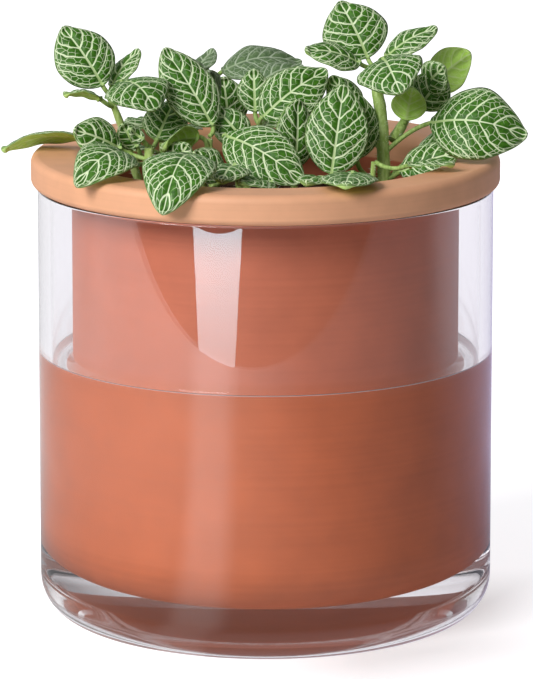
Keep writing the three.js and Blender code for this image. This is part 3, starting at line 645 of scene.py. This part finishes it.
def leaf_mesh(name, knot, leaf, stem_radius, seed, plant):
    """Lofts a leaf, stalk and blade, as a closed skin with vein coordinates, in millimetres until the end."""
    _, base, tip, width, (azimuth, elevation), arch = leaf
    base, tip, knot = (np.array(point, float) for point in (base, tip, knot))
    turned, tilt = math.radians(azimuth), math.radians(elevation)
    face = np.array((math.cos(turned) * math.cos(tilt), math.sin(turned) * math.cos(tilt), math.sin(tilt)))
    span = tip - base
    up = face - span * (face @ span) / (span @ span)
    up /= np.linalg.norm(up)
    crest = (base + tip) / 2 + 2 * arch * up
    stalk = plant.stalk / MM

    # The stalk starts inside the stem and runs into the blade along the blade's own bend.
    way, out = base - knot, base - crest
    start = knot + way / np.linalg.norm(way) * stem_radius * 0.6
    entry = base + out / np.linalg.norm(out) * np.linalg.norm(base - start) / 2
    # Rows lie a little closer at the blade's base and tip, where its outline turns most.
    even = np.linspace(0, 1, BLADE_ROWS + 1)
    shares = (0.35 * ((1 - np.cos(np.pi * even)) / 2) + 0.65 * even)[:-1]
    stalk_points, stalk_ways = bend(start, entry, base, np.linspace(0, 1, STALK_ROWS + 1)[:-1])
    blade_points, blade_ways = bend(base, crest, tip, shares)
    points = np.vstack((stalk_points, blade_points))
    ways = np.vstack((stalk_ways, blade_ways))
    share = np.concatenate((np.zeros(STALK_ROWS), shares))
    blade = np.concatenate((np.zeros(STALK_ROWS), np.ones(BLADE_ROWS)))
    length_mm = np.linalg.norm(np.diff(blade_points, axis=0), axis=1).sum()
    ups = face - ways * (ways @ face)[:, None]
    ups /= np.linalg.norm(ups, axis=1, keepdims=True)
    sides = np.cross(ways, ups)

    # Half the width follows a full oval, widest nearer the base. fullness is 0 on the round stalk and grows
    # to 1 on the blade.
    half = np.sin(np.pi * share ** 0.85) ** 0.62 * width / 2
    half = np.maximum(half, stalk * (1 - share))
    fullness = np.clip(half / stalk / 3 - 0.4, 0, 1) * blade
    share, half, fullness = share[:, None], half[:, None], fullness[:, None]
    bowed = -np.cos(np.pi * np.linspace(0, 1, COLUMNS + 1))
    across = np.linspace(-1, 1, COLUMNS + 1) * fullness + bowed * (1 - fullness)
    size = np.abs(across)
    offset = across * half

    # Side veins: seven on a blade of 25 mm, closer together near the base, and swept forwards to the margin.
    veins, crowding, opens = round(7 * math.sqrt(length_mm / 25)), 0.69, 0.38
    spread = 0.26 * size + 0.10 * size ** 3
    opening = np.minimum(1, share / opens)
    progress = np.maximum(share - spread * opening, 0.002)
    phase = veins * progress ** crowding
    slope = crowding * veins * progress ** (crowding - 1)
    along_rate = (1 - spread * (share < opens) / opens) / length_mm
    across_rate = (0.26 + 0.30 * size ** 2) * opening / np.maximum(half, 0.3)
    grain = np.clip(1 / np.maximum(slope * np.hypot(along_rate, across_rate), 1e-6), 0.2, 6)
    margin = (1 - size) * half
    edge = np.minimum(margin, np.minimum(share, 1 - share) * length_mm * 1.2)
    along = np.broadcast_to(share * length_mm, across.shape)

    # Relief: puffs between the veins, a groove along the midrib, waves along the margin, and drooping sides.
    lilt = np.random.default_rng(seed).uniform(0, 2 * math.pi)
    wave = np.sin(2 * math.pi * 2.2 * share + lilt + np.where(across > 0, 1.7, 0)) * size ** 3
    puff = np.abs(np.sin(np.pi * phase)) ** 0.8 * np.clip(margin / 2, 0, 1)
    puff *= np.clip(np.abs(offset) / 1.5, 0, 1)
    groove = np.exp(-(offset / 1.1) ** 2)
    relief = plant.puff / MM * (puff - 0.5) - 0.35 * groove + 0.035 * half * wave
    ground = (-0.16 * half * size ** 2 + relief * np.clip(half / 4, 0, 1)) * fullness
    depth = plant.thickness / MM / 2 * fullness + half * (1 - fullness)
    swell = depth * np.sqrt(np.maximum(1 - size ** 2, 0))

    middle = points[:, None] + sides[:, None] * offset[..., None]
    top = middle + ups[:, None] * (ground + swell)[..., None]
    below = middle + ups[:, None] * (ground - swell)[..., None]
    ring = np.concatenate((top, below[:, -2:0:-1]), axis=1)
    rows, around = ring.shape[:2]
    vertices = np.vstack((ring.reshape(-1, 3), start[None], tip[None])) * MM

    # Finish 0 is the stalk's, 1 the upper face's and 2 the underside's.
    faces, finish = [], []
    skins = [1 if column < COLUMNS else 2 for column in range(around)]
    for row in range(rows - 1):
        here, there = row * around, (row + 1) * around
        for column in range(around):
            after = (column + 1) % around
            faces.append((here + column, here + after, there + after, there + column))
        finish += skins if row >= STALK_ROWS else [0] * around
    last = (rows - 1) * around
    for column in range(around):
        after = (column + 1) % around
        faces += [(after, column, len(vertices) - 2), (last + column, last + after, len(vertices) - 1)]
        finish += [0, skins[column]]

    mesh = bpy.data.meshes.new(name)
    mesh.from_pydata(vertices.tolist(), [], faces)
    mesh.polygons.foreach_set("material_index", finish)
    mesh.polygons.foreach_set("use_smooth", [True] * len(faces))
    fields = {"phase": phase, "grain": grain, "across": offset, "along": along, "edge": edge}
    for field, grid in fields.items():
        full = np.concatenate((grid, grid[:, -2:0:-1]), axis=1).ravel()
        mark(mesh, field, np.append(full, (full[0], full[-COLUMNS])))
    mark(mesh, "leaf_seed", np.full(len(vertices), seed * 11.0))
    return mesh


def settle(piece, body, slot, *nodes):
    """Hands a finished piece to the frame: its body, its record slot, which is not used, and the nodes that
    it stands for.
    """
    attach(piece, body)
    if nodes:
        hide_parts(*nodes)


def length(name, description, millimetres, **more):
    """A setting for a length, with its default in millimetres."""
    return FloatProperty(name=name, description=description, default=millimetres * MM, unit="LENGTH", **more)


def paint(name, description, code):
    """A setting for a colour, with its default as an sRGB hex value."""
    return FloatVectorProperty(name=name, description=description, default=linear(code), size=4,
                               subtype="COLOR")


class JarSettings(bpy.types.PropertyGroup):
    """Sizes and colour of the glass jar."""
    wall: length("Wall", "Thickness of the glass wall", 4)
    floor: length("Floor", "Thickness of the glass base", 5.6)
    heel: length("Heel", "Round of the outer lower corner", 12.5)
    bowl: length("Bowl", "Width of the oval inner lower corner", 16.2)
    rise: length("Bowl rise", "Height of the oval inner lower corner", 25.8)
    lip: length("Lip", "Round of the fire-polished mouth", 0.7)
    sides: IntProperty(name="Sides", description="Facets round each turned piece", default=192, min=24)
    tint: paint("Tint", "Colour of the glass", "#fbfafc")


class WaterSettings(bpy.types.PropertyGroup):
    """Sizes of the water."""
    climb_glass: length("Climb on glass", "How far the water's edge climbs the glass", 3.2)
    climb_clay: length("Climb on clay", "How far the water's edge climbs the clay", 2.6)
    dip: length("Dip", "How far the middle of the gap lies under the marked level", 1.8)
    skin: length("Skin", "Clearance between the water's faces and the glass", 0.03, precision=6)
    drop: FloatProperty(
        name="Drop", description="Share of its depth that the water keeps when the pot is out", default=0.29,
        subtype="FACTOR", min=0.05, max=1)


class PotSettings(bpy.types.PropertyGroup):
    """Sizes and colours of the clay pot and its potting mix."""
    radius: length("Radius", "Outer radius of the pot's body", 59.5)
    wall: length("Wall", "Thickness of the clay", 5)
    corner: length("Corner", "Round of the foot's outer corner", 15.2)
    rim: length("Rim", "Height of the rim", 9.2)
    dry: paint("Dry clay", "Colour of the dry rim", "#e6a981")
    damp: paint("Damp clay", "Colour of the damp body", "#c36a4a")
    soaked: paint("Soaked clay", "Colour of the body under water", "#c36335")
    soil_dark: paint("Peat", "Colour of the damp crumbs", "#2a1d16")
    soil_light: paint("Fibre", "Colour of the dry fibres", "#5b4331")


class PlantSettings(bpy.types.PropertyGroup):
    """Sizes and colours of the plant."""
    thickness: length("Blade", "Thickness of a leaf blade", 0.7)
    stalk: length("Leaf stalk", "Radius of a leaf's stalk", 0.7)
    puff: length("Quilting", "Height of the puffs between veins", 0.35)
    hair: length("Hair", "Length of the stems' hairs", 0.9)
    cell: paint("Cells", "Green between the veins", "#2a540e")
    vein: paint("Veins", "Pale green of the net", "#dfeec4")
    # Painted light: the undersides' green is paler of its own, and brighter still for the light that comes
    # through the leaf.
    under: paint("Underside", "Green of the undersides", "#b2de5c")
    stem: paint("Stem", "Green of the stems", "#c2da8a")


class StageSettings(bpy.types.PropertyGroup):
    """Camera and light."""
    distance: length("Distance", "Camera's way back from the jar's axis", 1600)
    height: length("Height", "Camera's height above the table", 435.8)
    pitch: FloatProperty(name="Pitch", description="How far the camera looks down",
                         default=math.radians(12.34), subtype="ANGLE")
    key: FloatProperty(name="Key light", description="Power of the large soft light", default=32.5,
                       unit="POWER")
    fill: FloatProperty(name="Fill", description="Strength of the even light from all sides", default=0.19)


class PLANTER_OT_jar(bpy.types.Operator):
    """Turns the glass jar and marks the faces that water wets"""
    bl_idname = "planter.jar"
    bl_label = "Glass jar"

    def execute(self, context):
        jar, water = context.scene.planter_jar, context.scene.planter_water
        outer, top = JAR_TOP.x, JAR_TOP.z
        inner = outer - jar.wall
        wet = WATER_TOP.z - water.dip + water.climb_glass
        outline = [
            (0.0, jar.floor, 0.0), *oval(inner, jar.floor, jar.bowl, jar.rise), (inner, wet, 0.0),
            (inner, top, jar.lip), (outer, top, jar.lip), (outer, 0.0, jar.heel), (0.0, 0.0, 0.0),
        ]
        # Pressed soda-lime glass, fire-polished: clear, with a bright lip and a faint cool edge.
        dry_glass = clear_body("pressed clear glass", GLASS_IOR, jar.tint)
        # The same glass where water touches it: the step from water to glass is small, so it hardly shows.
        step = GLASS_IOR / WATER_IOR
        wet_glass = clear_body("pressed clear glass, wet", step, jar.tint)
        # The upright wall is wet only while the pot is in: a ray that comes from within finds it dry.
        wetted = clear_body("pressed clear glass, wetted wall", GLASS_IOR, jar.tint, step)
        piece = turn("jar_glass", outline, dry_glass, jar.sides)
        coat(piece.data, wet_glass, wetted)
        for face in piece.data.polygons:
            centre, normal = face.center, face.normal
            # A face inside the jar points to its axis or upwards.
            inside = normal.x * centre.x + normal.y * centre.y < 0 or normal.z > 0.5
            if inside and jar.floor * 0.9 < centre.z < wet:
                face.material_index = 2 if centre.z > jar.floor + jar.rise else 1
        settle(piece, "jar", "clear_glass", "glass_jar")
        return {"FINISHED"}


class PLANTER_OT_water(bpy.types.Operator):
    """Fills the jar with water whose edge climbs the glass and the clay"""
    bl_idname = "planter.water"
    bl_label = "Water"

    def execute(self, context):
        jar, water, pot = context.scene.planter_jar, context.scene.planter_water, context.scene.planter_pot
        wall = JAR_TOP.x - jar.wall - water.skin
        bottom = jar.floor + water.skin
        level = WATER_TOP.z - water.dip
        # Water climbs steeply at a wall that it wets and is flat again about 3 mm away.
        fade, flat = 1.3 * MM, 3.2 * MM
        radii = [wall - step * MM for step in (0, 0.15, 0.35, 0.6, 0.9, 1.3, 1.8, 2.4, 3.0)]
        radii += [pot.radius + step * MM for step in (2.8, 2.2, 1.6, 1.1, 0.7, 0.4, 0.15, 0, -1.5, -4, -8)]
        outline = [(0.0, bottom, 0.0), *oval(wall, bottom, jar.bowl - water.skin, jar.rise - water.skin)]
        for radius in (*radii, 0.0):
            rise = water.climb_glass * math.exp((radius - wall) / fade)
            rise += water.climb_clay * math.exp(-abs(radius - pot.radius) / fade)
            outline.append((radius, level + rise, 0.0))
        outline.reverse()
        # Still water: only its upper face is seen, as a bright line where it climbs, drawn with a painted
        # highlight and a painted reflection.
        surface = clear_body("still clear water", WATER_IOR, linear("#ffffff"))
        piece = turn("jar_water", outline, surface, jar.sides)
        coat(piece.data, water_contact("water against glass"),
             painted_water_line("thin edge of the water, painted highlight", linear("#f4eef4")),
             water_edge("climbing edge of the water, painted reflection", linear("#ecdcdc")))
        # Faces under the level or upright ones lie against the glass, and the top 0.4 mm is film.
        under, film = level - 0.05 * MM, level + water.climb_glass - 0.4 * MM
        for face in piece.data.polygons:
            if face.center.z < under or face.normal.z < 0.2:
                face.material_index = 1
            elif math.hypot(face.center.x, face.center.y) > wall - flat:
                face.material_index = 2 if face.center.z > film else 3
        settle(piece, "jar", "still_water", "water")
        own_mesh(piece)
        return {"FINISHED"}


class PLANTER_OT_pot(bpy.types.Operator):
    """Turns the clay pot with its wide rim"""
    bl_idname = "planter.pot"
    bl_label = "Clay pot"

    def execute(self, context):
        pot, jar = context.scene.planter_pot, context.scene.planter_jar
        rim, top, foot = POT_TOP.x, POT_TOP.z, POT_LOW.z
        under = top - pot.rim
        mouth = pot.radius - pot.wall
        floor = foot + pot.wall
        mouth_round, rim_round, under_round, neck_round = 5 * MM, 2.6 * MM, 2 * MM, 0.8 * MM
        outline = [
            (0.0, floor, 0.0), (mouth, floor, pot.corner - pot.wall), (mouth, top, mouth_round),
            (rim, top, rim_round), (rim, under, under_round), (pot.radius, under, neck_round),
            (pot.radius, foot, pot.corner), (0.0, foot, 0.0),
        ]
        clay = fired_clay("turned terracotta, unglazed", pot.dry, pot.damp, pot.soaked)
        piece = turn("pot_clay", outline, clay, jar.sides)
        settle(piece, "pot", "terracotta", "terracotta_pot")
        return {"FINISHED"}


class PLANTER_OT_soil(bpy.types.Operator):
    """Fills the pot with crumbly potting mix"""
    bl_idname = "planter.soil"
    bl_label = "Potting mix"

    def execute(self, context):
        pot = context.scene.planter_pot
        side, low = SOIL_TOP.x, SOIL_LOW.z
        # The crown stays under the solid's top by the height of the crumbs, and falls off towards the clay.
        crown, fall, steps = SOIL_TOP.z - 1.2 * MM, 2 * MM, 26
        outline = [(0.0, low, 0.0), (side, low, pot.corner - pot.wall - 0.3 * MM)]
        for step in range(steps + 1):
            share = 1 - step / steps
            outline.append((side * share, crown - fall * share ** 2, 0.0))
        outline.reverse()
        peat = damp_peat("damp peat mix", pot.soil_dark, pot.soil_light)
        body = turn("pot_mix.body", outline, peat, SOIL_SIDES)
        piece = grow("pot_mix", body, crumb_tree(), {
            "Crumb Size": 1.3 * MM, "Crumb Density": 1 / (3.2 * MM) ** 2, "Unevenness": 3 * MM, "Seed": 4,
            "Finish": peat,
        })
        settle(piece, "plant", "potting_soil", "potting_soil")
        return {"FINISHED"}


class PLANTER_OT_stems(bpy.types.Operator):
    """Grows the hairy stems along their knots"""
    bl_idname = "planter.stems"
    bl_label = "Stems"

    def execute(self, context):
        plant = context.scene.planter_plant
        tree = stem_tree()
        skin = stem_skin("young green stem", linear("#93b354"), plant.stem)
        hair = stem_hair("stem hair", linear("#eef2e2"), linear("#c9d6a8"))
        for seed, (sprig, (radius, rooted, knots, _)) in enumerate(SPRIGS.items()):
            points = [tuple(value * MM for value in knot) for knot in knots]
            if rooted:
                points.insert(0, (points[0][0], points[0][1], ROOTED_FROM))
            piece = grow(sprig + "_stalk", polyline(sprig + ".path", points), tree, {
                "Radius": radius * MM, "Top Share": 0.78, "Hair Length": plant.hair,
                "Hair Density": 0.45 / MM ** 2, "Seed": seed, "Skin": skin, "Hair": hair,
            })
            settle(piece, "plant", "stem", sprig + "_stem")
        return {"FINISHED"}


class PLANTER_OT_leaves(bpy.types.Operator):
    """Grows the net-veined leaves on their stalks"""
    bl_idname = "planter.leaves"
    bl_label = "Leaves"

    def execute(self, context):
        plant = context.scene.planter_plant
        stalk = stem_skin("green leaf stalk", linear("#7c9f48"), linear("#b3cc7c"))
        upper = leaf_skin("waxy leaf, upper face", plant.cell, linear("#4a8020"), plant.vein,
                          linear("#a9c47c"), boldness=1.0, roughness=0.45)
        # Painted light: the undersides are a paler green of their own, made brighter still to stand for the
        # light that comes through the leaf.
        under = leaf_skin("matt leaf, underside", plant.under, linear("#b8de74"), linear("#d8ebae"),
                          linear("#c8e096"), boldness=0.45, roughness=0.6)
        # Painted shade: the sprig at the back stands in shade behind the others, so its leaves' colours are
        # painted greyer, with a fainter net.
        far = leaf_skin("waxy leaf, painted shade", linear("#4a6340"), linear("#6b8459"), linear("#bccab0"),
                        linear("#93a880"), boldness=0.7, roughness=0.5)
        groups = [(sprig, "", leaves) for sprig, (_, _, _, leaves) in SPRIGS.items()]
        groups += [(sprig, "inner_", leaves) for sprig, leaves in INNER_LEAVES.items()]
        seed = 0
        for sprig, inner, leaves in groups:
            radius, _, knots, _ = SPRIGS[sprig]
            # The back sprig's own leaves take the painted shade.
            face = far if sprig == "back" and not inner else upper
            for number, leaf in enumerate(leaves, 1):
                seed += 1
                name = f"{sprig}_{inner}blade_{number}"
                mesh = leaf_mesh(name, knots[leaf[0]], leaf, radius, seed, plant)
                coat(mesh, stalk, face, under)
                nodes = () if inner else (f"{sprig}_leaf_{number}",)
                settle(link(name, mesh), "plant", "leaf", *nodes)
        return {"FINISHED"}


class PLANTER_OT_stage(bpy.types.Operator):
    """Sets the table, the lamp, the world and the camera"""
    bl_idname = "planter.stage"
    bl_label = "Stage"

    def execute(self, context):
        stage = context.scene.planter_stage
        scene = context.scene
        scene.view_settings.view_transform = "Standard"

        # The table's bowed front edge lies 0.41 m before the glass, a little turned: the glass mirrors the
        # table up to it, which draws the arch on the jar. Each point of it is where a mirrored ray ends that
        # leaves the glass at that angle.
        edge, turned, bow, back, side, sunk = 0.409, -7, 1.2, 2.4, 2.2, -0.2 * MM
        front = []
        for angle in range(-85, 86, 5):
            way, reach = math.radians(angle + turned), edge / math.cos(math.radians(angle / bow))
            front.append((JAR_TOP.x * math.sin(way / 2) + reach * math.sin(way),
                          -JAR_TOP.x * math.cos(way / 2) - reach * math.cos(way), sunk))
        rest = [(side, front[-1][1], sunk), (side, back, sunk), (-side, back, sunk),
                (-side, front[0][1], sunk)]
        table = bpy.data.meshes.new("table")
        table.from_pydata([*front, *rest], [], [tuple(range(len(front) + len(rest)))])
        coat(table, sweep_table("matt white table", TABLE_GLOW))
        link("table", table)

        # A bright panel beyond that edge, left of the camera, shows only as the upright streak in the glass.
        reach, low, high = 0.9, -118 * MM, -28 * MM
        corners = ((-31, low), (-16, low), (-11, high), (-35, high))
        points = [(reach * math.sin(math.radians(angle)), -reach * math.cos(math.radians(angle)), height)
                  for angle, height in corners]
        panel = bpy.data.meshes.new("streak_panel")
        panel.from_pydata(points, [], [(0, 1, 2, 3)])
        coat(panel, light_panel("streak panel", STREAK_GLOW, low, high))
        panel = link("streak_panel", panel)
        for ray in ("camera", "diffuse", "transmission", "shadow"):
            setattr(panel, "visible_" + ray, False)

        lamp = bpy.data.lights.new("key", "AREA")
        lamp.shape, lamp.size, lamp.energy = "SQUARE", KEY_WIDTH, stage.key
        holder = link("key", lamp)
        holder.location = KEY_PLACE
        holder.rotation_euler = (KEY_AIM - KEY_PLACE).to_track_quat("-Z", "Y").to_euler()

        world = bpy.data.worlds.new("studio")
        world.use_nodes = True
        world.node_tree.nodes.clear()
        add = partial(add_node, world.node_tree)
        path = add(LIGHT_PATH).outputs
        way = add(SPLIT, add(PLACE).outputs["Generated"]).outputs
        # Glass shows a white room behind and on the window's side. Before the jar the room darkens to the
        # right, and below the table's front edge it is dark.
        front = add(LARGER, add(MAP, way["Y"], 0.5, -0.1), add(MAP, way["Z"], 0.0, 0.3, 0.0, 0.8))
        shaded = add(TIMES, front, add(MAP, way["X"], -0.1, 0.5, 0.0, 0.85))
        hidden = add(MAP, way["Z"], -0.04, 0.0, 1.0, 0.0)
        hidden = add(TIMES, hidden, add(MAP, way["Y"], -0.4, -0.3, 1.0, 0.0))
        room = add(MAP, add(LARGER, hidden, shaded), 0.0, 1.0, 1.0, 0.02)
        clear = add(LARGER, path["Is Glossy Ray"], path["Is Transmission Ray"])
        strength = add(BETWEEN, path["Is Camera Ray"], add(BETWEEN, clear, stage.fill, room), 1.0)
        add("ShaderNodeOutputWorld", add("ShaderNodeBackground", (1, 1, 1, 1), strength))
        scene.world = world

        lens = bpy.data.cameras.new("camera")
        lens.sensor_fit, lens.sensor_height, lens.sensor_width = "VERTICAL", SENSOR, SENSOR
        lens.lens = SENSOR * FOCAL_PIXELS / PICTURE_HEIGHT
        lens.shift_x = 1.0 / PICTURE_HEIGHT
        camera = link("camera", lens)
        camera.location = (0, -stage.distance, stage.height)
        camera.rotation_euler = (math.pi / 2 - stage.pitch, 0, 0)
        scene.camera = camera
        return {"FINISHED"}


STEPS = (PLANTER_OT_stage, PLANTER_OT_jar, PLANTER_OT_pot, PLANTER_OT_water, PLANTER_OT_soil,
         PLANTER_OT_stems, PLANTER_OT_leaves)
SETTINGS = {"planter_jar": JarSettings, "planter_water": WaterSettings, "planter_pot": PotSettings,
            "planter_plant": PlantSettings, "planter_stage": StageSettings}


class PLANTER_PT_sidebar(bpy.types.Panel):
    """Lists the planter's settings and steps"""
    bl_label = "Self-watering pot"
    bl_idname = "PLANTER_PT_sidebar"
    bl_space_type = "VIEW_3D"
    bl_region_type = "UI"
    bl_category = "Planter"

    def draw(self, context):
        for name, group in SETTINGS.items():
            box = self.layout.box()
            for field in group.__annotations__:
                box.prop(getattr(context.scene, name), field)
        for step in STEPS:
            self.layout.operator(step.bl_idname)


def register():
    for kind in (*SETTINGS.values(), *STEPS, PLANTER_PT_sidebar):
        bpy.utils.register_class(kind)
    for name, group in SETTINGS.items():
        setattr(bpy.types.Scene, name, PointerProperty(type=group))


def unregister():
    for name in SETTINGS:
        delattr(bpy.types.Scene, name)
    for kind in (PLANTER_PT_sidebar, *STEPS, *SETTINGS.values()):
        bpy.utils.unregister_class(kind)


def main():
    register()
    bpy.ops.planter.stage()
    bpy.ops.planter.jar()
    bpy.ops.planter.pot()
    bpy.ops.planter.water()
    bpy.ops.planter.soil()
    bpy.ops.planter.stems()
    bpy.ops.planter.leaves()


if __name__ == "__main__":
    main()
